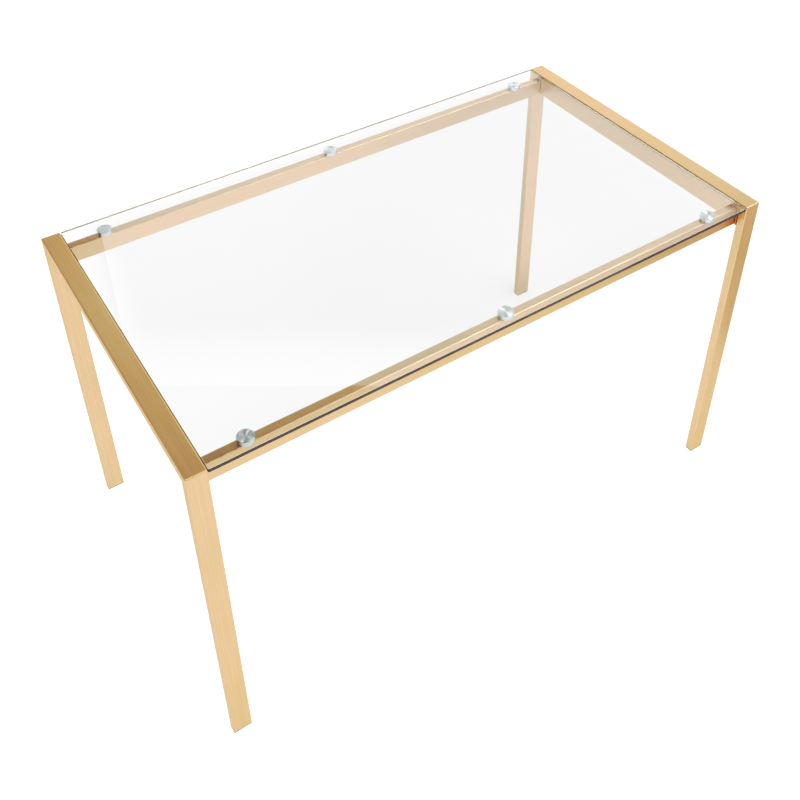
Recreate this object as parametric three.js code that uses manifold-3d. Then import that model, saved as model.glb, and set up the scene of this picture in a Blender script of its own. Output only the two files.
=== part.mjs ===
// Glass-top table on two gold end frames.
// Millimetres, +Z up. Origin on the floor under the middle of the table, +X along its length,
// -Y towards the front.

import * as THREE from 'three';
import { mergeVertices } from 'three/addons/utils/BufferGeometryUtils.js';
import Module from 'manifold-3d';

// ---- driving dimensions -------------------------------------------------------------------

const LENGTH = 1276;
const DEPTH = 706;
const HEIGHT = 750;

const TUBE_WIDE = 38;
const TUBE_THIN = 19;
const TUBE_WALL = 1.5;
const TUBE_EDGE = 2;

const GAP = 0.3;
const RAIL_SETBACK = 24;
const RAIL_END_GAP = 1;

const GLASS_THICK = 8;
const GLASS_BELOW_BARS = 1;
const GLASS_END_GAP = 1;
const GLASS_SIDE_INSET = 1;
const GLASS_CORNER = 3;
const GLASS_ARRIS = 0.8;

const DISC_RADIUS = 15;
const DISC_FROM_MIDDLE = 521;
const DISC_CHAMFER = 0.5;
const DISC_HOLE_DEEP = 7;

const SCREW_RADIUS = 3;
const SCREW_HEAD_RADIUS = 5.5;
const SCREW_HEAD_HIGH = 3.3;
const SOCKET_ACROSS = 4;
const SOCKET_DEEP = 2;
const ACCESS_RADIUS = 7;
const DISC_SCREW_LONG = 8;

const RAIL_BOLT_LONG = 30;
const RAIL_BOLT_SPREAD = 9;
const END_PLATE_THICK = 5;

const FOOT_FLANGE = 2;
const FOOT_PLUG_HIGH = 15;
const FOOT_PLUG_WALL = 2;

const DISC_STEPS = 32;
const HOLE_STEPS = 16;
const ARC_STEPS = 2;

// ---- dimensions that follow ---------------------------------------------------------------

const HALF_LENGTH = LENGTH / 2;
const HALF_DEPTH = DEPTH / 2;
const LEG_X = HALF_LENGTH - TUBE_WIDE / 2;
const LEG_Y = HALF_DEPTH - TUBE_THIN / 2;
const LEG_BOTTOM = FOOT_FLANGE + GAP;
const BAR_BOTTOM = HEIGHT - TUBE_THIN;
const INNER_FACE_X = HALF_LENGTH - TUBE_WIDE;
const RAIL_Y = HALF_DEPTH - RAIL_SETBACK - TUBE_THIN / 2;
const RAIL_TOP = BAR_BOTTOM;
const RAIL_Z = RAIL_TOP - TUBE_WIDE / 2;
const RAIL_HALF_LENGTH = INNER_FACE_X - RAIL_END_GAP;
const CROSS_RAIL_X = INNER_FACE_X + TUBE_THIN / 2;
const GLASS_TOP = HEIGHT - GLASS_BELOW_BARS;
const GLASS_BOTTOM = GLASS_TOP - GLASS_THICK;
const DISC_XS = { left: -DISC_FROM_MIDDLE, middle: 0, right: DISC_FROM_MIDDLE };

// ---- materials ----------------------------------------------------------------------------

const gold = () => new THREE.MeshStandardMaterial({ color: 0xcfa869, roughness: 0.38, metalness: 1 });
const spunAluminium = () => new THREE.MeshStandardMaterial({ color: 0xc9cccf, roughness: 0.28, metalness: 1 });
const zincSteel = () => new THREE.MeshStandardMaterial({ color: 0xa9abad, roughness: 0.4, metalness: 1 });
const plastic = () => new THREE.MeshStandardMaterial({ color: 0x4a4238, roughness: 0.6, metalness: 0 });
const clearGlass = () => new THREE.MeshStandardMaterial({
  color: 0xe9f2ef,
  roughness: 0.03,
  metalness: 0,
  transparent: true,
  opacity: 0.3,
});

// ---- solids: joining and cutting ----------------------------------------------------------

const wasm = await Module();
wasm.setup();

function toManifold(geometry) {
  const bare = geometry.clone();
  bare.deleteAttribute('normal');
  bare.deleteAttribute('uv');
  const merged = mergeVertices(bare, 1e-4);
  return new wasm.Manifold(new wasm.Mesh({
    numProp: 3,
    vertProperties: new Float32Array(merged.attributes.position.array),
    triVerts: new Uint32Array(merged.index.array),
  }));
}

function fromManifold(manifold) {
  const mesh = manifold.getMesh();
  const geometry = new THREE.BufferGeometry();
  geometry.setAttribute('position', new THREE.BufferAttribute(mesh.vertProperties, 3));
  geometry.setIndex(new THREE.BufferAttribute(mesh.triVerts, 1));
  geometry.computeVertexNormals();
  return geometry;
}

function cut(geometry, tools) {
  const body = tools.reduce((rest, tool) => rest.subtract(toManifold(tool)), toManifold(geometry));
  return fromManifold(body);
}

// ---- shapes -------------------------------------------------------------------------------

// A Shape or a Path with rounded corners, each corner an arc of ARC_STEPS chords.
function roundedRectangle(Path, width, height, radius) {
  const points = [];
  for (let corner = 0; corner < 4; corner += 1) {
    const x = (corner === 0 || corner === 3 ? 1 : -1) * (width / 2 - radius);
    const y = (corner < 2 ? 1 : -1) * (height / 2 - radius);
    for (let step = 0; step <= ARC_STEPS; step += 1) {
      const angle = (corner + step / ARC_STEPS) * Math.PI / 2;
      points.push(new THREE.Vector2(x + radius * Math.cos(angle), y + radius * Math.sin(angle)));
    }
  }
  return new Path(points);
}

function extrude(outline, depth) {
  return new THREE.ExtrudeGeometry(outline, { depth, bevelEnabled: false });
}

// A rectangular tube along +Z from z = 0, its section width along X and height along Y.
function tube(width, height, length) {
  const outline = roundedRectangle(THREE.Shape, width, height, TUBE_EDGE);
  const bore = roundedRectangle(
    THREE.Path, width - 2 * TUBE_WALL, height - 2 * TUBE_WALL, TUBE_EDGE - TUBE_WALL);
  outline.holes.push(bore);
  return extrude(outline, length);
}

// Slants a tube's ends: every vertex at the start or end moves along Z by slope times its section Y.
function slantEnds(geometry, length, startSlope, endSlope) {
  const position = geometry.attributes.position;
  for (let i = 0; i < position.count; i += 1) {
    const atEnd = position.getZ(i) > length / 2;
    const slope = atEnd ? endSlope : startSlope;
    position.setZ(i, position.getZ(i) + slope * position.getY(i));
  }
  return geometry;
}

function hole(radius, length, axis) {
  const geometry = new THREE.CylinderGeometry(radius, radius, length, HOLE_STEPS);
  if (axis === 'x') geometry.rotateZ(Math.PI / 2);
  if (axis === 'z') geometry.rotateX(Math.PI / 2);
  return geometry;
}

// A button-head screw standing on its head: head below z = 0, shank up from z = 0.
function screw(shankLong) {
  const dome = SCREW_HEAD_RADIUS * 0.55;
  const profile = [
    [0, -SCREW_HEAD_HIGH],
    [dome, -SCREW_HEAD_HIGH],
    [SCREW_HEAD_RADIUS * 0.85, -SCREW_HEAD_HIGH * 0.7],
    [SCREW_HEAD_RADIUS, -SCREW_HEAD_HIGH * 0.25],
    [SCREW_HEAD_RADIUS, 0],
    [SCREW_RADIUS, 0],
    [SCREW_RADIUS, shankLong - SCREW_RADIUS * 0.3],
    [SCREW_RADIUS * 0.7, shankLong],
    [0, shankLong],
  ].map(([r, z]) => new THREE.Vector2(r, z));
  const body = new THREE.LatheGeometry(profile, HOLE_STEPS).rotateX(Math.PI / 2);
  const socketRadius = SOCKET_ACROSS / Math.sqrt(3);
  const socket = new THREE.CylinderGeometry(socketRadius, socketRadius, 2 * SOCKET_DEEP, 6)
    .rotateX(Math.PI / 2)
    .translate(0, 0, -SCREW_HEAD_HIGH);
  return cut(body, [socket]);
}

// ---- sub-parts ----------------------------------------------------------------------------

// The wide side faces the front. The top is mitred, high on the outer side.
function legGeometry() {
  const length = HEIGHT - TUBE_THIN / 2 - LEG_BOTTOM - GAP * Math.SQRT1_2;
  const leg = tube(TUBE_WIDE, TUBE_THIN, length);
  return slantEnds(leg, length, 0, 1).translate(0, 0, LEG_BOTTOM);
}

// Along Y, wide side up, both ends mitred so that the top is the long side.
function topBarGeometry() {
  const length = DEPTH - TUBE_THIN - GAP * Math.SQRT2;
  const bar = slantEnds(tube(TUBE_WIDE, TUBE_THIN, length), length, -1, 1);
  return bar
    .translate(0, 0, -length / 2)
    .rotateX(Math.PI / 2)
    .translate(0, 0, HEIGHT - TUBE_THIN / 2);
}

// Along Y on edge, with the holes of the rail bolts through both walls.
function crossRailGeometry() {
  const length = DEPTH - 2 * (TUBE_THIN + GAP);
  const height = TUBE_WIDE - GAP;
  const rail = tube(TUBE_THIN, height, length)
    .translate(0, 0, -length / 2)
    .rotateX(Math.PI / 2)
    .translate(0, 0, RAIL_Z - GAP / 2);
  const holes = [];
  for (const y of [-RAIL_Y, RAIL_Y]) {
    for (const side of [-1, 1]) {
      const bolt = hole(SCREW_RADIUS + GAP, 2 * TUBE_WIDE, 'x');
      holes.push(bolt.translate(0, y, RAIL_Z + side * RAIL_BOLT_SPREAD));
    }
  }
  return cut(rail, holes);
}

// Along X on edge. Each disc screw has a clearance hole above and a wide access hole below.
function longRailGeometry() {
  const length = 2 * RAIL_HALF_LENGTH;
  const rail = tube(TUBE_THIN, TUBE_WIDE, length)
    .translate(0, 0, -length / 2)
    .rotateX(Math.PI / 2)
    .rotateZ(Math.PI / 2)
    .translate(0, 0, RAIL_Z);
  const holes = [];
  for (const x of Object.values(DISC_XS)) {
    holes.push(hole(SCREW_RADIUS + GAP, 4 * TUBE_WALL, 'z').translate(x, 0, RAIL_TOP));
    holes.push(hole(ACCESS_RADIUS, 4 * TUBE_WALL, 'z').translate(x, 0, RAIL_TOP - TUBE_WIDE));
  }
  return cut(rail, holes);
}

// A steel plate that fills the rail's end, with the two bolt holes.
function endPlateGeometry() {
  const width = TUBE_THIN - 2 * (TUBE_WALL + GAP);
  const height = TUBE_WIDE - 2 * (TUBE_WALL + GAP);
  const plate = extrude(roundedRectangle(THREE.Shape, width, height, TUBE_EDGE), END_PLATE_THICK)
    .translate(0, 0, -END_PLATE_THICK / 2)
    .rotateX(Math.PI / 2)
    .rotateZ(Math.PI / 2);
  const holes = [-1, 1].map((side) => hole(SCREW_RADIUS + GAP, 2 * END_PLATE_THICK, 'x')
    .translate(0, 0, side * RAIL_BOLT_SPREAD));
  return cut(plate, holes);
}

// The disc's axis is Z, its base at z = 0, with a blind screw hole from below.
function discGeometry() {
  const high = GLASS_BOTTOM - RAIL_TOP - 2 * GAP;
  const holeRadius = SCREW_RADIUS + GAP;
  const profile = [
    [holeRadius, 0],
    [DISC_RADIUS - DISC_CHAMFER, 0],
    [DISC_RADIUS, DISC_CHAMFER],
    [DISC_RADIUS, high - DISC_CHAMFER],
    [DISC_RADIUS - DISC_CHAMFER, high],
    [0, high],
    [0, DISC_HOLE_DEEP],
    [holeRadius, DISC_HOLE_DEEP],
    [holeRadius, 0],
  ].map(([r, z]) => new THREE.Vector2(r, z));
  return new THREE.LatheGeometry(profile, DISC_STEPS).rotateX(Math.PI / 2);
}

// A pane with rounded corners and a fine arris along all its edges.
function glassGeometry() {
  const width = 2 * (INNER_FACE_X - GLASS_END_GAP - GLASS_ARRIS);
  const depth = 2 * (HALF_DEPTH - GLASS_SIDE_INSET - GLASS_ARRIS);
  const outline = roundedRectangle(THREE.Shape, width, depth, GLASS_CORNER);
  return new THREE.ExtrudeGeometry(outline, {
    depth: GLASS_THICK - 2 * GLASS_ARRIS,
    bevelThickness: GLASS_ARRIS,
    bevelSize: GLASS_ARRIS,
    bevelSegments: 1,
  }).translate(0, 0, GLASS_BOTTOM + GLASS_ARRIS);
}

// A flange the size of the tube's section, with a hollow plug that is open at the top.
function footCapGeometry() {
  const flange = extrude(roundedRectangle(THREE.Shape, TUBE_WIDE, TUBE_THIN, TUBE_EDGE), FOOT_FLANGE);
  const plugWidth = TUBE_WIDE - 2 * (TUBE_WALL + GAP);
  const plugDepth = TUBE_THIN - 2 * (TUBE_WALL + GAP);
  const plug = roundedRectangle(THREE.Shape, plugWidth, plugDepth, TUBE_EDGE);
  plug.holes.push(roundedRectangle(
    THREE.Path, plugWidth - 2 * FOOT_PLUG_WALL, plugDepth - 2 * FOOT_PLUG_WALL, TUBE_EDGE / 2));
  const walls = extrude(plug, FOOT_PLUG_HIGH).translate(0, 0, FOOT_FLANGE / 2);
  return fromManifold(toManifold(flange).add(toManifold(walls)));
}

// ---- assembly -----------------------------------------------------------------------------

const table = new THREE.Group();

function place(name, geometry, material, x = 0, y = 0, z = 0) {
  const mesh = new THREE.Mesh(geometry, material);
  mesh.name = name;
  mesh.position.set(x, y, z);
  table.add(mesh);
  return mesh;
}

const ENDS = { left: -1, right: 1 };
const SIDES = { front: -1, rear: 1 };

place('glass_top', glassGeometry(), clearGlass());

for (const [end, endSign] of Object.entries(ENDS)) {
  place(`${end}_top_bar`, topBarGeometry(), gold(), endSign * LEG_X);
  place(`${end}_cross_rail`, crossRailGeometry(), gold(), endSign * CROSS_RAIL_X);

  for (const [side, sideSign] of Object.entries(SIDES)) {
    const leg = place(`${side}_${end}_leg`, legGeometry(), gold(), endSign * LEG_X, sideSign * LEG_Y);
    if (side === 'front') leg.rotation.z = Math.PI;
    place(`${side}_${end}_foot_cap`, footCapGeometry(), plastic(), endSign * LEG_X, sideSign * LEG_Y);

    const plateX = endSign * (RAIL_HALF_LENGTH - GAP - END_PLATE_THICK / 2);
    place(`${side}_rail_${end}_end_plate`, endPlateGeometry(), zincSteel(), plateX, sideSign * RAIL_Y, RAIL_Z);

    for (const [level, levelSign] of Object.entries({ lower: -1, upper: 1 })) {
      const bolt = place(
        `${side}_rail_${end}_${level}_bolt`,
        screw(RAIL_BOLT_LONG),
        zincSteel(),
        endSign * (INNER_FACE_X + TUBE_THIN + GAP),
        sideSign * RAIL_Y,
        RAIL_Z + levelSign * RAIL_BOLT_SPREAD,
      );
      bolt.rotation.y = -endSign * Math.PI / 2;
    }
  }
}

for (const [side, sideSign] of Object.entries(SIDES)) {
  place(`${side}_rail`, longRailGeometry(), gold(), 0, sideSign * RAIL_Y);

  for (const [where, x] of Object.entries(DISC_XS)) {
    place(`${side}_${where}_disc`, discGeometry(), spunAluminium(), x, sideSign * RAIL_Y, RAIL_TOP + GAP);
    place(
      `${side}_${where}_disc_screw`,
      screw(DISC_SCREW_LONG),
      zincSteel(),
      x,
      sideSign * RAIL_Y,
      RAIL_TOP - TUBE_WALL - GAP,
    );
  }
}

export default table;
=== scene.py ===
"""Looks of the glass-top table with two gold end frames.

Metres, +Z up, +X along the table, -Y towards the front, origin on the floor under its middle.
"""

import math

import bmesh
import bpy
from mathutils import Matrix, Vector


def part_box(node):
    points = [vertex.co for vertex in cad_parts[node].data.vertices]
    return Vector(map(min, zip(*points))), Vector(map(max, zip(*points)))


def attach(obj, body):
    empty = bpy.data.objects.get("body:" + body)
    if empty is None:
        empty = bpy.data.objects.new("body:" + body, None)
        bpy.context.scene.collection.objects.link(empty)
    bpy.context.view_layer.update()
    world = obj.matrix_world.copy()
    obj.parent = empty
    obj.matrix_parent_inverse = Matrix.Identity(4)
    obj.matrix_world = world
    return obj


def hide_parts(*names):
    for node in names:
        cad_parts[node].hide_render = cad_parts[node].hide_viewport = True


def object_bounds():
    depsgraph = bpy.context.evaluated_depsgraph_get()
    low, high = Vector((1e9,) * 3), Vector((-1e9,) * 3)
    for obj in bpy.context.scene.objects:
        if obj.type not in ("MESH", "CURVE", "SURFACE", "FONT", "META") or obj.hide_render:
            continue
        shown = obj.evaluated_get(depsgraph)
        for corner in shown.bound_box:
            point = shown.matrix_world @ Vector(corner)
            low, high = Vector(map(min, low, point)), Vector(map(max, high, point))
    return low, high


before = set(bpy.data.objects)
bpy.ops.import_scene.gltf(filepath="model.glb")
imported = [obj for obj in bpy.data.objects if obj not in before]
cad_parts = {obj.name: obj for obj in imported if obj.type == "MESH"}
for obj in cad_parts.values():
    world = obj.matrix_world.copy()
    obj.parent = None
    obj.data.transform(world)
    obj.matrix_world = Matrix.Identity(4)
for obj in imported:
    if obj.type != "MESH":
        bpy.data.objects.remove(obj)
cad_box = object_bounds()

# ---- sizes that the looks add to the frame's own --------------------------------------------

MM = 0.001
WALL = 1.5 * MM
EDGE_RADIUS = 2.4 * MM
CORNER_RADIUS = 2.6 * MM
INNER_EDGE_RADIUS = EDGE_RADIUS / 4
EDGE_STEPS = 6
SHARP_ANGLE = math.radians(34)

GLASS_ARRIS = 0.4 * MM
GLASS_CORNER = 3 * MM

DISC_STEPS = 128
DISC_RIM_RADIUS = 0.5 * MM
DISC_HOLE_DEPTH = 7 * MM

# Screws, sockets and holes are given by their radius.
SCREW_STEPS = 48
SCREW_RADIUS = 3 * MM
SCREW_TIP_CHAMFER = 0.9 * MM
SCREW_HOLE_RADIUS = 3.3 * MM
ACCESS_HOLE_RADIUS = 7 * MM
SCREW_HEAD_RADIUS = 5.5 * MM
SCREW_HEAD_HEIGHT = 3.3 * MM
SCREW_HEAD_RIM = 0.4 * MM
SCREW_DOME_STEPS = 8
SOCKET_RADIUS = 2.3 * MM
SOCKET_MOUTH_RADIUS = 1.04 * SOCKET_RADIUS
SOCKET_DEPTH = 2 * MM

FOOT_FLANGE = 2 * MM
FOOT_WALL = 2 * MM
FOOT_EDGE_RADIUS = 0.5 * MM
FOOT_PLUG_CLEARANCE = 0.3 * MM

CAMERA_HEADING = math.radians(33.69)
CAMERA_TILT = math.radians(35.17)

ENDS = {"left": -1, "right": 1}
SIDES = {"front": -1, "rear": 1}
PLACES = ("left", "middle", "right")
LEVELS = ("lower", "upper")


# ---- materials: node helpers ----------------------------------------------------------------


def new_material(name):
    """A material, its node tree and its Principled shader."""
    material = bpy.data.materials.new(name)
    material.use_nodes = True
    shader = material.node_tree.nodes["Principled BSDF"]
    return material, material.node_tree, shader


def add_node(tree, kind, **settings):
    """A node with these inputs or, where it has no input of that name, these settings."""
    node = tree.nodes.new(kind)
    for key, value in settings.items():
        if key in node.inputs:
            node.inputs[key].default_value = value
        else:
            setattr(node, key, value)
    return node


def noise(tree, scale, stretch=(1, 1, 1), detail=4.0):
    """Noise in object space. A small factor on an axis stretches the noise along that axis."""
    place = add_node(tree, "ShaderNodeTexCoord")
    spread = add_node(tree, "ShaderNodeMapping")
    spread.inputs["Scale"].default_value = stretch
    texture = add_node(tree, "ShaderNodeTexNoise", Scale=scale, Detail=detail)
    tree.links.new(place.outputs["Object"], spread.inputs["Vector"])
    tree.links.new(spread.outputs["Vector"], texture.inputs["Vector"])
    return texture.outputs["Fac"]


def spread_between(tree, factor, low, high):
    """Takes a factor around one half to a number between low and high."""
    node = add_node(tree, "ShaderNodeMapRange")
    node.inputs["From Min"].default_value = 0.3
    node.inputs["From Max"].default_value = 0.7
    node.inputs["To Min"].default_value = low
    node.inputs["To Max"].default_value = high
    tree.links.new(factor, node.inputs["Value"])
    return node.outputs["Result"]


def colour_between(tree, factor, low, high):
    """Takes a factor around one half to a colour between low and high."""
    ramp = add_node(tree, "ShaderNodeValToRGB")
    ramp.color_ramp.elements[0].position = 0.38
    ramp.color_ramp.elements[0].color = (*low, 1)
    ramp.color_ramp.elements[1].position = 0.62
    ramp.color_ramp.elements[1].color = (*high, 1)
    tree.links.new(factor, ramp.inputs["Fac"])
    return ramp.outputs["Color"]


def scaled(tree, factor, amount):
    """A factor times an amount."""
    node = add_node(tree, "ShaderNodeMath", operation="MULTIPLY")
    node.inputs[1].default_value = amount
    tree.links.new(factor, node.inputs[0])
    return node.outputs["Value"]


def bump(tree, shader, height, strength, distance):
    """Raises the surface by a height in its shading only."""
    node = add_node(tree, "ShaderNodeBump", Strength=strength, Distance=distance)
    tree.links.new(height, node.inputs["Height"])
    tree.links.new(node.outputs["Normal"], shader.inputs["Normal"])


# ---- materials ------------------------------------------------------------------------------


AXES = {"x": (1, 0, 0), "y": (0, 1, 0), "z": (0, 0, 1)}
GRAIN_STRETCH = {"x": (0.012, 1, 1), "y": (1, 0.012, 1), "z": (1, 1, 0.012)}


def across_grain(tree, shader, axis):
    """Draws highlights out across a brushed grain that runs along axis."""
    surface = add_node(tree, "ShaderNodeNewGeometry")
    cross = add_node(tree, "ShaderNodeVectorMath", operation="CROSS_PRODUCT")
    cross.inputs[1].default_value = axis
    tree.links.new(surface.outputs["Normal"], cross.inputs[0])
    tree.links.new(cross.outputs["Vector"], shader.inputs["Tangent"])


def gold_metal(grain):
    """Satin champagne-gold metal, brushed along one axis, its tone drifting in wide patches."""
    material, tree, shader = new_material("gold_metal_grain_" + grain)
    streaks = noise(tree, 420.0, GRAIN_STRETCH[grain])
    fine = noise(tree, 900.0, GRAIN_STRETCH[grain], detail=2.0)
    patches = add_node(tree, "ShaderNodeMath", operation="MULTIPLY_ADD")
    patches.inputs[1].default_value = 0.35
    tree.links.new(noise(tree, 5.0), patches.inputs[0])
    tree.links.new(scaled(tree, streaks, 0.65), patches.inputs[2])
    tree.links.new(
        colour_between(tree, patches.outputs["Value"], (0.578, 0.413, 0.248), (0.637, 0.461, 0.287)),
        shader.inputs["Base Color"],
    )
    tree.links.new(spread_between(tree, streaks, 0.33, 0.40), shader.inputs["Roughness"])
    across_grain(tree, shader, AXES[grain])
    shader.inputs["Metallic"].default_value = 1.0
    shader.inputs["Anisotropic"].default_value = 0.5
    shader.inputs["Specular Tint"].default_value = (0.78, 0.66, 0.52, 1)
    shader.inputs["Coat Weight"].default_value = 0.14
    shader.inputs["Coat Roughness"].default_value = 0.2
    bump(tree, shader, fine, 0.04, 0.00003)
    return material


def clear_glass():
    """The pane's clear upper and lower faces, with the faint grey of float glass."""
    material, _, shader = new_material("clear_glass")
    shader.inputs["Base Color"].default_value = (0.92, 0.935, 0.93, 1)
    shader.inputs["Roughness"].default_value = 0.0
    shader.inputs["IOR"].default_value = 1.52
    shader.inputs["Transmission Weight"].default_value = 1.0
    return material


def edge_with_painted_shade():
    """The pane's edge: ground and faintly streaked along its length. Its colour is a painted dark
    warm brown that stands in for the shade and the mirrored gold seen inside the edge.
    """
    material, tree, shader = new_material("glass_edge_with_painted_shade")
    streaks = noise(tree, 300.0, (0.05, 0.05, 1))
    # Painted shade and painted reflection: the edge's dark warm base colour.
    tree.links.new(
        colour_between(tree, streaks, (0.185, 0.150, 0.115), (0.24, 0.20, 0.15)),
        shader.inputs["Base Color"],
    )
    shader.inputs["IOR"].default_value = 1.52
    shader.inputs["Transmission Weight"].default_value = 0.6
    tree.links.new(spread_between(tree, streaks, 0.12, 0.22), shader.inputs["Roughness"])
    return material


def ground_arris():
    """The fine bevel along the pane's upper edge, ground matt, so that it catches light."""
    material, tree, shader = new_material("glass_ground_arris")
    grit = noise(tree, 1500.0)
    shader.inputs["Base Color"].default_value = (0.80, 0.81, 0.80, 1)
    shader.inputs["IOR"].default_value = 1.52
    shader.inputs["Transmission Weight"].default_value = 0.45
    tree.links.new(spread_between(tree, grit, 0.45, 0.65), shader.inputs["Roughness"])
    return material


def spun_aluminium():
    """Turned aluminium: fine rings round the axis, and a highlight drawn out across them."""
    material, tree, shader = new_material("spun_aluminium")
    shader.inputs["Metallic"].default_value = 1.0
    shader.inputs["Anisotropic"].default_value = 1.0
    shader.inputs["Anisotropic Rotation"].default_value = 0.25
    tangent = add_node(tree, "ShaderNodeTangent", direction_type="RADIAL", axis="Z")
    tree.links.new(tangent.outputs["Tangent"], shader.inputs["Tangent"])
    place = add_node(tree, "ShaderNodeTexCoord")
    rings = add_node(
        tree,
        "ShaderNodeTexWave",
        wave_type="RINGS",
        rings_direction="Z",
        Scale=900.0,
        Distortion=1.5,
        Detail=2.0,
    )
    rings.inputs["Detail Scale"].default_value = 40.0
    tree.links.new(place.outputs["Object"], rings.inputs["Vector"])
    tree.links.new(
        colour_between(tree, rings.outputs["Fac"], (0.60, 0.660, 0.675), (0.78, 0.838, 0.850)),
        shader.inputs["Base Color"],
    )
    tree.links.new(
        spread_between(tree, rings.outputs["Fac"], 0.32, 0.40), shader.inputs["Roughness"]
    )
    return material


def zinc_steel():
    """Zinc-plated steel: a fine mottle of light and dark, and a slight orange peel."""
    material, tree, shader = new_material("zinc_steel")
    shader.inputs["Metallic"].default_value = 1.0
    tree.links.new(
        colour_between(tree, noise(tree, 160.0), (0.50, 0.51, 0.53), (0.66, 0.67, 0.68)),
        shader.inputs["Base Color"],
    )
    tree.links.new(
        spread_between(tree, noise(tree, 420.0), 0.28, 0.42), shader.inputs["Roughness"]
    )
    bump(tree, shader, noise(tree, 1800.0), 0.08, 0.00005)
    return material


def foot_plastic():
    """Dark brown moulded plastic with a fine matt texture."""
    material, tree, shader = new_material("foot_plastic")
    tree.links.new(
        colour_between(tree, noise(tree, 120.0), (0.050, 0.042, 0.034), (0.075, 0.064, 0.052)),
        shader.inputs["Base Color"],
    )
    tree.links.new(
        spread_between(tree, noise(tree, 500.0), 0.5, 0.66), shader.inputs["Roughness"]
    )
    bump(tree, shader, noise(tree, 2500.0, detail=2.0), 0.12, 0.00006)
    return material


# ---- mesh helpers ---------------------------------------------------------------------------


def middle(node):
    """The middle of a CAD node's box."""
    low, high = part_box(node)
    return (low + high) / 2


def under_middle(node):
    """The point at the bottom of a CAD node's box, below its middle."""
    low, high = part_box(node)
    return Vector(((low.x + high.x) / 2, (low.y + high.y) / 2, low.z))


def add_object(name, data):
    """Puts a new object with this mesh, light or camera into the scene."""
    thing = bpy.data.objects.new(name, data)
    bpy.context.scene.collection.objects.link(thing)
    return thing


def turned_to(axis):
    """The turn that takes the z axis to another axis."""
    return Vector((0, 0, 1)).rotation_difference(Vector(axis)).to_matrix().to_4x4()


def smooth_by_angle(mesh):
    """Shades a mesh smooth, but keeps its sharp edges."""
    for polygon in mesh.polygons:
        polygon.use_smooth = True
    mesh.set_sharp_from_angle(angle=SHARP_ANGLE)


def even_out_flat_faces(piece):
    """Keeps wide flat faces flat in their shading beside the narrow faces of a rounded edge."""
    modifier = piece.modifiers.new("flat_faces", "WEIGHTED_NORMAL")
    modifier.weight = 80
    modifier.keep_sharp = True


def make_piece(name, mesh_data, materials, slot, *nodes):
    """Turns a bmesh into a shown piece that rides on the table and stands for CAD nodes."""
    bmesh.ops.recalc_face_normals(mesh_data, faces=mesh_data.faces)
    mesh = bpy.data.meshes.new(name)
    mesh_data.to_mesh(mesh)
    mesh_data.free()
    for material in materials:
        mesh.materials.append(material)
    piece = add_object(name, mesh)
    smooth_by_angle(mesh)
    even_out_flat_faces(piece)
    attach(piece, "root")
    if nodes:
        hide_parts(*nodes)
    return piece


def rounded_rectangle(width, height, radius):
    """Points round a rectangle centred on the origin, anticlockwise from the +x side."""
    points = []
    for corner in range(4):
        x = (width / 2 - radius) * (1 if corner in (0, 3) else -1)
        y = (height / 2 - radius) * (1 if corner < 2 else -1)
        for step in range(EDGE_STEPS + 1):
            angle = (corner + step / EDGE_STEPS) * math.pi / 2
            points.append((x + radius * math.cos(angle), y + radius * math.sin(angle)))
    return points


def join_loops(mesh_data, first, second, material=0):
    """Quads between two closed loops of the same number of vertices."""
    count = len(first)
    for i in range(count):
        j = (i + 1) % count
        face = mesh_data.faces.new((first[i], first[j], second[j], second[i]))
        face.material_index = material


def loop_at(mesh_data, points, height):
    """New vertices at (x, y) points, all at one height."""
    return [mesh_data.verts.new((x, y, height)) for x, y in points]


def open_tube(width, height, length):
    """A hollow tube along z from 0, its section width along x and height along y."""
    mesh_data = bmesh.new()
    outer = rounded_rectangle(width, height, EDGE_RADIUS)
    inner = rounded_rectangle(width - 2 * WALL, height - 2 * WALL, INNER_EDGE_RADIUS)
    loops = [
        loop_at(mesh_data, outline, z)
        for outline, z in ((outer, 0), (outer, length), (inner, length), (inner, 0))
    ]
    for i in range(4):
        join_loops(mesh_data, loops[i], loops[(i + 1) % 4])
    return mesh_data


def lathe(profile, steps):
    """Turns a profile of (radius, z) points round z. Points at radius 0 become one vertex."""
    mesh_data = bmesh.new()
    rings = []
    for radius, z in profile:
        if radius == 0:
            rings.append([mesh_data.verts.new((0, 0, z))])
            continue
        turn = [2 * math.pi * i / steps for i in range(steps)]
        rings.append(
            [mesh_data.verts.new((radius * math.cos(a), radius * math.sin(a), z)) for a in turn]
        )
    for below, above in zip(rings, rings[1:]):
        for i in range(steps):
            j = (i + 1) % steps
            if len(below) == 1:
                mesh_data.faces.new((below[0], above[j], above[i]))
            elif len(above) == 1:
                mesh_data.faces.new((below[i], below[j], above[0]))
            else:
                mesh_data.faces.new((below[i], below[j], above[j], above[i]))
    return mesh_data


def quarter_arc(centre_radius, centre_z, radius, start, end):
    """(radius, z) points of an arc in the profile plane, angles in degrees."""
    points = []
    for step in range(EDGE_STEPS + 1):
        angle = math.radians(start + (end - start) * step / EDGE_STEPS)
        points.append(
            (centre_radius + radius * math.cos(angle), centre_z + radius * math.sin(angle))
        )
    return points


def hole_cutter(holes):
    """An object of round bars, one for each hole: (centre, axis, radius, length)."""
    bars = bmesh.new()
    for centre, axis, radius, length in holes:
        bmesh.ops.create_cone(
            bars,
            cap_ends=True,
            segments=SCREW_STEPS,
            radius1=radius,
            radius2=radius,
            depth=length,
            matrix=Matrix.Translation(centre) @ turned_to(axis),
        )
    mesh = bpy.data.meshes.new("cutter")
    bars.to_mesh(mesh)
    bars.free()
    return add_object("cutter", mesh)


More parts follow.
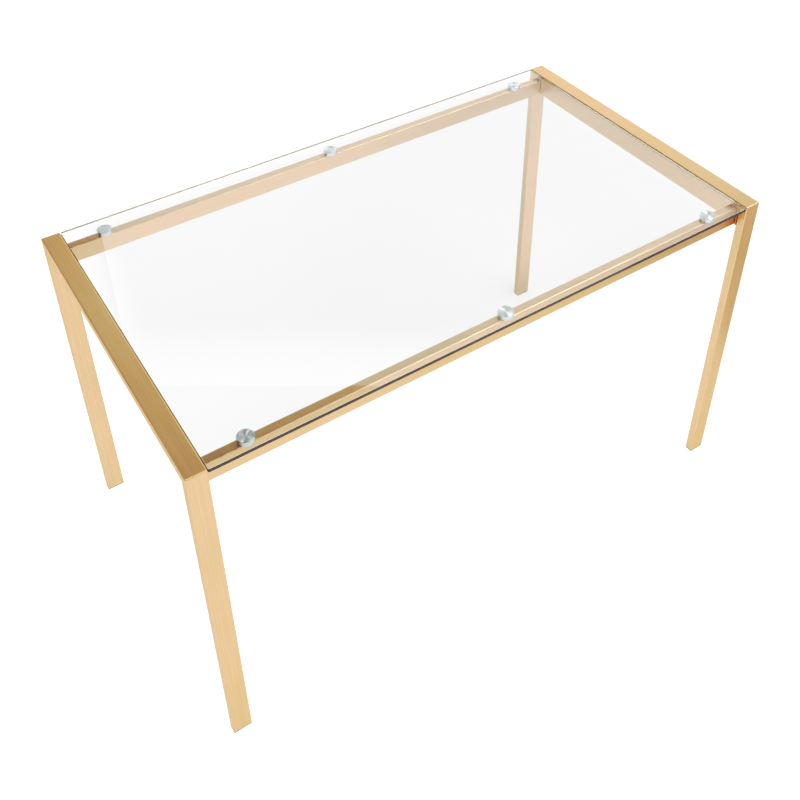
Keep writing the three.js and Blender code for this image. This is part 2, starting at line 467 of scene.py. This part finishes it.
def drill(piece, holes):
    """Cuts round holes in a piece, and keeps only the cut mesh."""
    cutter = hole_cutter(holes)
    piece.modifiers.clear()
    modifier = piece.modifiers.new("holes", "BOOLEAN")
    modifier.operation = "DIFFERENCE"
    modifier.solver = "EXACT"
    modifier.object = cutter
    graph = bpy.context.evaluated_depsgraph_get()
    cut_mesh = bpy.data.meshes.new_from_object(piece.evaluated_get(graph))
    piece.modifiers.clear()
    whole_mesh = piece.data
    cut_mesh.name = whole_mesh.name
    piece.data = cut_mesh
    cutter_mesh = cutter.data
    bpy.data.objects.remove(cutter)
    for mesh in (whole_mesh, cutter_mesh):
        bpy.data.meshes.remove(mesh)
    smooth_by_angle(piece.data)
    even_out_flat_faces(piece)
    return piece


# ---- end frames -----------------------------------------------------------------------------

leg_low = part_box("front_left_leg")[0]
bar_low, bar_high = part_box("left_top_bar")
tube_width = bar_high.x - bar_low.x
tube_thickness = bar_high.z - bar_low.z
top_height = bar_high.z
half_frame_depth = -leg_low.y

LEG_MATERIAL = 0
BAR_MATERIAL = 1


def frame_outline(half_depth, top, bottom, thickness, corner_radius):
    """The inverted U seen from the end, as (y, z, inset_y, inset_z) points.

    The insets say which way each point moves to shrink the section. The points run up the front,
    over the top, down the rear, and back along the inner side.
    """
    points = [(-half_depth, bottom, 1, 0)]
    for side, first, last in ((-1, 180, 90), (1, 90, 0)):
        for step in range(EDGE_STEPS + 1):
            angle = math.radians(first + (last - first) * step / EDGE_STEPS)
            out_y, out_z = math.cos(angle), math.sin(angle)
            points.append(
                (
                    side * (half_depth - corner_radius) + corner_radius * out_y,
                    top - corner_radius + corner_radius * out_z,
                    -out_y,
                    -out_z,
                )
            )
    points.append((half_depth, bottom, -1, 0))
    points.append((half_depth - thickness, bottom, 1, 0))
    points.append((half_depth - thickness, top - thickness, 1, 1))
    points.append((-half_depth + thickness, top - thickness, -1, 1))
    points.append((-half_depth + thickness, bottom, -1, 0))
    return points


def frame_skin(mesh_data, outline, half_width, edge_radius):
    """The skin of the inverted U, open at both feet. Returns its rings from -x to +x."""
    rings = []
    for sign in (-1, 1):
        steps = range(EDGE_STEPS + 1) if sign < 0 else range(EDGE_STEPS, -1, -1)
        for step in steps:
            angle = math.pi / 2 * step / EDGE_STEPS
            inset = edge_radius * (1 - math.sin(angle))
            x = sign * (half_width - edge_radius * (1 - math.cos(angle)))
            rings.append(
                [
                    mesh_data.verts.new((x, y + inset * inset_y, z + inset * inset_z))
                    for y, z, inset_y, inset_z in outline
                ]
            )
    return rings


def is_bar(vertices):
    """True where a face of the end frame belongs to the top bar and not to a leg."""
    middle = sum((v.co for v in vertices), Vector()) / len(vertices)
    below_top = top_height - middle.z
    from_side = half_frame_depth - abs(middle.y)
    return below_top < from_side


def skin_faces(mesh_data, rings, feet):
    """Faces between neighbouring rings, with the feet left open."""
    count = len(rings[0])
    for low, high in zip(rings, rings[1:]):
        for i in range(count):
            if i in feet:
                continue
            j = (i + 1) % count
            corners = (low[i], low[j], high[j], high[i])
            face = mesh_data.faces.new(corners)
            face.material_index = BAR_MATERIAL if is_bar(corners) else LEG_MATERIAL


def side_faces(mesh_data, ring):
    """A flat side of the U in three pieces, split along the mitres."""
    count = len(ring)
    foot_inner_rear, corner_rear, corner_front, foot_inner_front = ring[count - 4 :]
    middle_front = EDGE_STEPS // 2 + 1
    middle_rear = middle_front + EDGE_STEPS + 1
    front_leg = ring[0 : middle_front + 1] + [corner_front, foot_inner_front]
    bar = ring[middle_front : middle_rear + 1] + [corner_rear, corner_front]
    rear_leg = ring[middle_rear : count - 4] + [foot_inner_rear, corner_rear]
    for vertices in (front_leg, rear_leg):
        mesh_data.faces.new(vertices).material_index = LEG_MATERIAL
    mesh_data.faces.new(bar).material_index = BAR_MATERIAL


def close_feet(mesh_data, outer, inner, feet):
    """The tube's wall at the bottom of each leg, between the outer and inner skins."""
    count = len(outer[0])
    for i in feet:
        j = (i + 1) % count
        for k in (i, j):
            for n in range(len(outer) - 1):
                mesh_data.faces.new((outer[n][k], outer[n + 1][k], inner[n + 1][k], inner[n][k]))
        for n in (0, -1):
            mesh_data.faces.new((outer[n][i], outer[n][j], inner[n][j], inner[n][i]))


def end_frame(end, sign, materials):
    """Two legs and the top bar, welded at the mitres and polished into one."""
    mesh_data = bmesh.new()
    foot = leg_low.z
    outer = frame_outline(half_frame_depth, top_height, foot, tube_thickness, CORNER_RADIUS)
    inner = frame_outline(
        half_frame_depth - WALL,
        top_height - WALL,
        foot,
        tube_thickness - 2 * WALL,
        CORNER_RADIUS / 2,
    )
    count = len(outer)
    front_foot, rear_foot = count - 1, count - 5
    feet = {front_foot, rear_foot}
    skins = []
    for outline, half_width, radius in (
        (outer, tube_width / 2, EDGE_RADIUS),
        (inner, tube_width / 2 - WALL, INNER_EDGE_RADIUS),
    ):
        rings = frame_skin(mesh_data, outline, half_width, radius)
        skin_faces(mesh_data, rings, feet)
        side_faces(mesh_data, rings[0])
        side_faces(mesh_data, rings[-1])
        skins.append(rings)
    close_feet(mesh_data, skins[0], skins[1], feet)
    bmesh.ops.translate(
        mesh_data, verts=mesh_data.verts, vec=(sign * (cad_box[1].x - tube_width / 2), 0, 0)
    )
    return make_piece(
        f"{end}_end_frame",
        mesh_data,
        materials,
        "gold_metal",
        f"{end}_top_bar",
        f"front_{end}_leg",
        f"rear_{end}_leg",
    )


# ---- rails ----------------------------------------------------------------------------------


def straight_rail(name, axis, material, holes):
    """A tube on edge along x or y that fills a CAD rail's box, with its holes."""
    low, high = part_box(name)
    size = high - low
    start = middle(name)
    if axis == "x":
        mesh_data = open_tube(size.y, size.z, size.x)
        turn = Matrix(((0, 0, 1), (1, 0, 0), (0, 1, 0))).to_4x4()
        start.x = low.x
    else:
        mesh_data = open_tube(size.z, size.x, size.y)
        turn = Matrix(((0, 1, 0), (0, 0, 1), (1, 0, 0))).to_4x4()
        start.y = low.y
    bmesh.ops.transform(
        mesh_data, verts=mesh_data.verts, matrix=Matrix.Translation(start) @ turn
    )
    piece = make_piece(name + "_tube", mesh_data, [material], "gold_metal", name)
    return drill(piece, holes)


def long_rail(side, material):
    """The front or rear rail: above each access hole below, a screw hole in its top wall."""
    low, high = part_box(f"{side}_rail")
    through_wall = 4 * WALL
    holes = []
    for place in PLACES:
        screw = middle(f"{side}_{place}_disc_screw")
        for z, radius in ((high.z, SCREW_HOLE_RADIUS), (low.z, ACCESS_HOLE_RADIUS)):
            holes.append((Vector((screw.x, screw.y, z)), (0, 0, 1), radius, through_wall))
    return straight_rail(f"{side}_rail", "x", material, holes)


def cross_rail(end, material):
    """The rail below a top bar, with holes right through it for the long rails' bolts."""
    rail = middle(f"{end}_cross_rail")
    right_through = 2 * tube_thickness
    holes = []
    for side in SIDES:
        for level in LEVELS:
            bolt = middle(f"{side}_rail_{end}_{level}_bolt")
            centre = Vector((rail.x, bolt.y, bolt.z))
            holes.append((centre, (1, 0, 0), SCREW_HOLE_RADIUS, right_through))
    return straight_rail(f"{end}_cross_rail", "y", material, holes)


def ground_weld(end, sign, material):
    """The weld that fills the groove between top bar and cross rail, ground flush with both."""
    low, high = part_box(f"{end}_cross_rail")
    reach = 1.1 * EDGE_RADIUS
    face = low.x if sign > 0 else high.x
    mesh_data = bmesh.new()
    ends = [
        [
            mesh_data.verts.new((face + sign * depth, y, high.z + rise))
            for depth, rise in ((0, -reach), (0, reach), (reach, 0))
        ]
        for y in (low.y, high.y)
    ]
    join_loops(mesh_data, *ends)
    mesh_data.faces.new(ends[0])
    mesh_data.faces.new(ends[1])
    return make_piece(f"{end}_cross_rail_weld", mesh_data, [material], "gold_metal")


# ---- glass ----------------------------------------------------------------------------------


def glass_pane(clear, edge, arris):
    """The pane: clear faces, a seamed edge darkened with painted shade, and a pale ground arris
    above it.
    """
    low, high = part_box("glass_top")
    size = high - low
    full = rounded_rectangle(size.x, size.y, GLASS_CORNER)
    inset = rounded_rectangle(
        size.x - 2 * GLASS_ARRIS, size.y - 2 * GLASS_ARRIS, GLASS_CORNER - GLASS_ARRIS
    )
    mesh_data = bmesh.new()
    loops = [
        loop_at(mesh_data, outline, z)
        for outline, z in (
            (inset, low.z),
            (full, low.z + GLASS_ARRIS),
            (full, high.z - GLASS_ARRIS),
            (inset, high.z),
        )
    ]
    edge_slot, arris_slot = 1, 2
    bands = zip((edge_slot, edge_slot, arris_slot), loops, loops[1:])
    for slot, below, above in bands:
        join_loops(mesh_data, below, above, slot)
    mesh_data.faces.new(loops[0])
    mesh_data.faces.new(loops[-1])
    return make_piece("glass_pane", mesh_data, [clear, edge, arris], "clear_glass", "glass_top")


# ---- discs, screws and feet -----------------------------------------------------------------


def disc(side, place, material):
    """A turned disc between rail and glass, with a rounded rim and a blind hole below."""
    node = f"{side}_{place}_disc"
    low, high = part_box(node)
    radius = (high.x - low.x) / 2
    height = high.z - low.z
    rim = DISC_RIM_RADIUS
    profile = [(0, height)]
    profile += [(radius * k / 4, height) for k in (1, 2, 3)]
    profile += quarter_arc(radius - rim, height - rim, rim, 90, 0)
    profile += quarter_arc(radius - rim, rim, rim, 0, -90)
    hole = SCREW_HOLE_RADIUS
    profile += [(hole, 0), (hole, DISC_HOLE_DEPTH), (0, DISC_HOLE_DEPTH)]
    piece = make_piece(
        f"{node}_turned", lathe(profile, DISC_STEPS), [material], "spun_aluminium", node
    )
    piece.location = under_middle(node)
    return piece


def screw_profile(length):
    """Half of a button-head screw as (radius, z) points, its head up from z 0."""
    tip = SCREW_HEAD_HEIGHT - length
    profile = [(0, tip), (SCREW_RADIUS - SCREW_TIP_CHAMFER, tip)]
    profile += [(SCREW_RADIUS, tip + SCREW_TIP_CHAMFER), (SCREW_RADIUS, 0), (SCREW_HEAD_RADIUS, 0)]
    for step in range(SCREW_DOME_STEPS + 1):
        turn = math.pi / 2 * step / SCREW_DOME_STEPS
        radius = SCREW_HEAD_RADIUS * (0.5 + 0.5 * math.cos(turn))
        rise = (SCREW_HEAD_HEIGHT - SCREW_HEAD_RIM) * math.sin(turn)
        profile.append((radius, SCREW_HEAD_RIM + rise))
    profile.append((SOCKET_MOUTH_RADIUS, SCREW_HEAD_HEIGHT))
    return profile


def around(vertex):
    """A vertex's angle round the z axis."""
    return math.atan2(vertex.co.y, vertex.co.x)


def hex_socket(mesh_data):
    """Closes the open middle of a screw's head with a hexagonal socket."""
    flat = [v for v in mesh_data.verts if v.co.z > SCREW_HEAD_HEIGHT - 1e-7]
    rim = sorted(flat, key=lambda v: v.co.xy.length)[:SCREW_STEPS]
    rim.sort(key=around)
    hexagon = []
    for angle in map(around, rim):
        from_flat = (angle % (math.pi / 3)) - math.pi / 6
        reach = SOCKET_RADIUS * math.cos(math.pi / 6) / math.cos(from_flat)
        hexagon.append((reach * math.cos(angle), reach * math.sin(angle)))
    mouth = loop_at(mesh_data, hexagon, SCREW_HEAD_HEIGHT)
    bottom = loop_at(mesh_data, hexagon, SCREW_HEAD_HEIGHT - SOCKET_DEPTH)
    join_loops(mesh_data, rim, mouth)
    join_loops(mesh_data, mouth, bottom)
    mesh_data.faces.new(bottom)


def button_screw(node, head_direction, material):
    """A button-head screw with a hex socket. head_direction points out of its head."""
    low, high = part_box(node)
    axis = Vector(head_direction)
    length = abs((high - low).dot(axis))
    mesh_data = lathe(screw_profile(length), SCREW_STEPS)
    hex_socket(mesh_data)
    seat = middle(node) + axis * (length / 2 - SCREW_HEAD_HEIGHT)
    place = Matrix.Translation(seat) @ turned_to(axis)
    bmesh.ops.transform(mesh_data, verts=mesh_data.verts, matrix=place)
    return make_piece(node + "_turned", mesh_data, [material], "zinc_steel", node)


def foot_cap(side, end, material):
    """A moulded cap: a flange under the tube, and a hollow plug up inside it."""
    node = f"{side}_{end}_foot_cap"
    low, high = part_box(node)
    size = high - low
    mesh_data = bmesh.new()

    def outline(inset, radius):
        return rounded_rectangle(size.x - 2 * inset, size.y - 2 * inset, radius)

    sole = outline(FOOT_EDGE_RADIUS, EDGE_RADIUS - FOOT_EDGE_RADIUS)
    flange = outline(0, EDGE_RADIUS)
    plug_inset = WALL + FOOT_PLUG_CLEARANCE
    plug = outline(plug_inset, EDGE_RADIUS)
    hollow = outline(plug_inset + FOOT_WALL, EDGE_RADIUS / 2)
    loops = [
        loop_at(mesh_data, points, z)
        for points, z in (
            (sole, 0),
            (flange, FOOT_EDGE_RADIUS),
            (flange, FOOT_FLANGE),
            (plug, FOOT_FLANGE),
            (plug, size.z - FOOT_EDGE_RADIUS),
            (hollow, size.z),
            (hollow, FOOT_FLANGE),
        )
    ]
    for below, above in zip(loops, loops[1:]):
        join_loops(mesh_data, below, above)
    mesh_data.faces.new(loops[0])
    mesh_data.faces.new(loops[-1])
    piece = make_piece(f"{node}_moulded", mesh_data, [material], "foot_plastic", node)
    piece.location = under_middle(node)
    return piece


# ---- studio ---------------------------------------------------------------------------------


def within(tree, value, start, end):
    """A soft-edged step: 0 at start, 1 at end."""
    fade = add_node(tree, "ShaderNodeMapRange", interpolation_type="SMOOTHSTEP")
    fade.inputs["From Min"].default_value = start
    fade.inputs["From Max"].default_value = end
    tree.links.new(value, fade.inputs["Value"])
    return fade.outputs["Result"]


def blended(tree, factor, first, second):
    """A number that goes from first to second, each a number or a socket, with the factor."""
    node = add_node(tree, "ShaderNodeMapRange")
    for name, value in (("To Min", first), ("To Max", second)):
        if isinstance(value, float):
            node.inputs[name].default_value = value
        else:
            tree.links.new(value, node.inputs[name])
    tree.links.new(factor, node.inputs["Value"])
    return node.outputs["Result"]


def distance_along(tree, place, direction):
    """How far a place lies from the origin along a direction."""
    node = add_node(tree, "ShaderNodeVectorMath", operation="DOT_PRODUCT")
    node.inputs[1].default_value = direction
    tree.links.new(place, node.inputs[0])
    return node.outputs["Value"]


def painted_floor_shade(tree):
    """The floor's glow, with painted light and shade: a painted fall-off of light makes it a little
    lower to the right, and a soft-edged patch of painted shadow lies behind the table where the
    glass would shade it. The patch is least dark at its near left, where painted light stands in for
    the glass's reflection."""
    # Painted light and shade in the floor's glow: lit is the painted fall-off of light, shaded the
    # painted shadow patch.
    lit_left, lit_right = 0.95, 0.84
    shaded_near, shaded_left, shaded_right = 0.75, 0.57, 0.52
    along, across = (1, 0, 0), (0, 1, 0)
    slanting = (0.979, -0.203, 0)
    ahead = (math.sin(CAMERA_HEADING), math.cos(CAMERA_HEADING), 0)
    borders = (
        (along, -0.47, -0.40),
        (slanting, -0.72, -0.50),
        (along, 1.50, 1.36),
        (across, 0.19, 0.31),
        (across, 1.44, 1.30),
    )
    place = add_node(tree, "ShaderNodeTexCoord").outputs["Object"]
    fades = [
        within(tree, distance_along(tree, place, direction), outer, inner)
        for direction, outer, inner in borders
    ]
    inside = fades[0]
    for fade in fades[1:]:
        both = add_node(tree, "ShaderNodeMath", operation="MULTIPLY")
        tree.links.new(inside, both.inputs[0])
        tree.links.new(fade, both.inputs[1])
        inside = both.outputs["Value"]
    length = distance_along(tree, place, along)
    shaded_far = blended(tree, length, shaded_left, shaded_right)
    past_near = within(tree, distance_along(tree, place, ahead), 0.22, 0.52)
    shaded = blended(tree, past_near, shaded_near, shaded_far)
    lit = blended(tree, length, lit_left, lit_right)
    return blended(tree, inside, lit, shaded)


def studio_floor():
    """A wide white floor that glows, bright enough to keep its shadows faint. Its glow carries
    painted shade and a painted fall-off of light.
    """
    mesh_data = bmesh.new()
    bmesh.ops.create_circle(mesh_data, cap_ends=True, segments=96, radius=40)
    mesh = bpy.data.meshes.new("studio_floor")
    mesh_data.to_mesh(mesh)
    mesh_data.free()
    material, tree, shader = new_material("pale_floor")
    shader.inputs["Base Color"].default_value = (0.25, 0.25, 0.25, 1)
    shader.inputs["Roughness"].default_value = 1.0
    shader.inputs["Specular IOR Level"].default_value = 0.0
    shader.inputs["Emission Color"].default_value = (1, 1, 1, 1)
    # Painted shade and painted fall-off of light, set through the floor's glow.
    tree.links.new(painted_floor_shade(tree), shader.inputs["Emission Strength"])
    mesh.materials.append(material)
    add_object("studio_floor", mesh)


def studio_sky():
    """White at the horizon, an even grey above it, and darker and warmer overhead."""
    world = bpy.data.worlds.new("studio_sky")
    bpy.context.scene.world = world
    world.use_nodes = True
    tree = world.node_tree
    place = add_node(tree, "ShaderNodeTexCoord")
    split = add_node(tree, "ShaderNodeSeparateXYZ")
    ramp = add_node(tree, "ShaderNodeValToRGB")
    horizon, low, high, overhead = 0.14, 0.30, 0.64, 0.82
    stops = ramp.color_ramp.elements
    stops[0].position = horizon
    stops[0].color = (1, 1, 1, 1)
    stops[1].position = overhead
    stops[1].color = (0.240, 0.222, 0.160, 1)
    stops.new(low).color = (0.44, 0.43, 0.44, 1)
    stops.new(high).color = (0.485, 0.452, 0.510, 1)
    tree.links.new(place.outputs["Generated"], split.inputs["Vector"])
    tree.links.new(split.outputs["Z"], ramp.inputs["Fac"])
    tree.links.new(ramp.outputs["Color"], tree.nodes["Background"].inputs["Color"])


def camera_curve():
    """A gentle film-like curve, so that bright metal pales and dark metal deepens."""
    settings = bpy.context.scene.view_settings
    settings.view_transform = "Standard"
    settings.use_curve_mapping = True
    curve = settings.curve_mapping.curves[3]
    shadows = ((0.15, 0.09), (0.25, 0.243), (0.35, 0.42))
    highlights = ((0.65, 0.765), (0.75, 0.9), (0.85, 0.972))
    for x, y in shadows + highlights:
        curve.points.new(x, y)
    for point in curve.points:
        point.handle_type = "AUTO_CLAMPED"
    settings.curve_mapping.extend = "HORIZONTAL"
    settings.curve_mapping.update()


def soft_panel(name, place, aim, size, radiance):
    """A rectangular soft light of even brightness that points at aim."""
    light = bpy.data.lights.new(name, "AREA")
    light.shape = "RECTANGLE"
    light.size, light.size_y = size
    light.energy = radiance * math.pi * size[0] * size[1]
    panel = add_object(name, light)
    panel.location = place
    direction = Vector(aim) - Vector(place)
    panel.rotation_euler = direction.to_track_quat("-Z", "Y").to_euler()
    panel.visible_camera = False


def glowing_card(name, corners, radiance, colour=(1, 1, 1)):
    """A flat card in the studio that only reflections and lit surfaces see."""
    mesh = bpy.data.meshes.new(name)
    mesh.from_pydata(corners, [], [tuple(range(len(corners)))])
    material, _, shader = new_material(name)
    shader.inputs["Base Color"].default_value = (0, 0, 0, 1)
    shader.inputs["Specular IOR Level"].default_value = 0.0
    shader.inputs["Emission Color"].default_value = (*colour, 1)
    shader.inputs["Emission Strength"].default_value = radiance
    mesh.materials.append(material)
    card = add_object(name, mesh)
    card.visible_camera = False
    return card


def rear_panel():
    """A standing soft light behind the table. Its left and top edges show in the glass."""
    distance = 3.0
    left, right = -1.79, 2.05
    bottom, top = 1.3, 4.38
    ahead = Vector((math.sin(CAMERA_HEADING), math.cos(CAMERA_HEADING), 0)) * distance
    across = Vector((math.cos(CAMERA_HEADING), -math.sin(CAMERA_HEADING), 0))
    corners = [
        ahead + across * side + Vector((0, 0, height))
        for side, height in ((left, bottom), (right, bottom), (right, top), (left, top))
    ]
    glowing_card("rear_panel", corners, 1.3)


def floor_flag():
    """A rosy grey card on the floor to the front right, which darkens the legs that mirror it."""
    left, right = 0.95, 4
    front, rear = -3, -0.48
    height = 0.01
    rosy = (1, 0.90, 0.98)
    corners = [
        (x, y, height) for x, y in ((left, rear), (left, front), (right, front), (right, rear))
    ]
    card = glowing_card("floor_flag", corners, 0.80, rosy)
    card.visible_diffuse = False
    card.visible_shadow = False


def overhead_strip():
    """A long narrow soft light above the front, for the bright lines along rounded edges."""
    soft_panel("overhead_strip", (1.4, -1.2, 3.2), (0.3, -0.3, 0.7), (3.4, 1.1), 6.5)


def side_strip():
    """A small soft light high to the left, which draws the bright spokes on the turned discs."""
    soft_panel("side_strip", (-1.6, 0.2, 3.4), (0, 0, 0.74), (0.5, 1.0), 13.0)


def table_camera():
    """Looks down on the table from its front left. The shift puts the table in the frame."""
    data = bpy.data.cameras.new("camera")
    data.sensor_width = 36
    data.lens = 46.23
    data.shift_x = -0.018
    data.shift_y = -0.275
    data.clip_end = 200
    camera = add_object("camera", data)
    camera.location = (-0.9066, -1.3807, 2.0126)
    camera.rotation_euler = (math.pi / 2 - CAMERA_TILT, 0, -CAMERA_HEADING)
    bpy.context.scene.camera = camera


# ---- assembly -------------------------------------------------------------------------------

table_camera()
studio_floor()
studio_sky()
rear_panel()
floor_flag()
overhead_strip()
side_strip()
camera_curve()

gold = {axis: gold_metal(axis) for axis in "xyz"}
aluminium = spun_aluminium()
steel = zinc_steel()
plastic = foot_plastic()

for end, sign in ENDS.items():
    end_frame(end, sign, [gold["z"], gold["y"]])
    cross_rail(end, gold["y"])
    ground_weld(end, sign, gold["y"])
    for side in SIDES:
        foot_cap(side, end, plastic)
        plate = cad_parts[f"{side}_rail_{end}_end_plate"]
        plate.data.materials.clear()
        plate.data.materials.append(steel)
        for level in LEVELS:
            button_screw(f"{side}_rail_{end}_{level}_bolt", (sign, 0, 0), steel)

for side in SIDES:
    long_rail(side, gold["x"])
    for place in PLACES:
        disc(side, place, aluminium)
        button_screw(f"{side}_{place}_disc_screw", (0, 0, -1), steel)

glass_pane(clear_glass(), edge_with_painted_shade(), ground_arris())
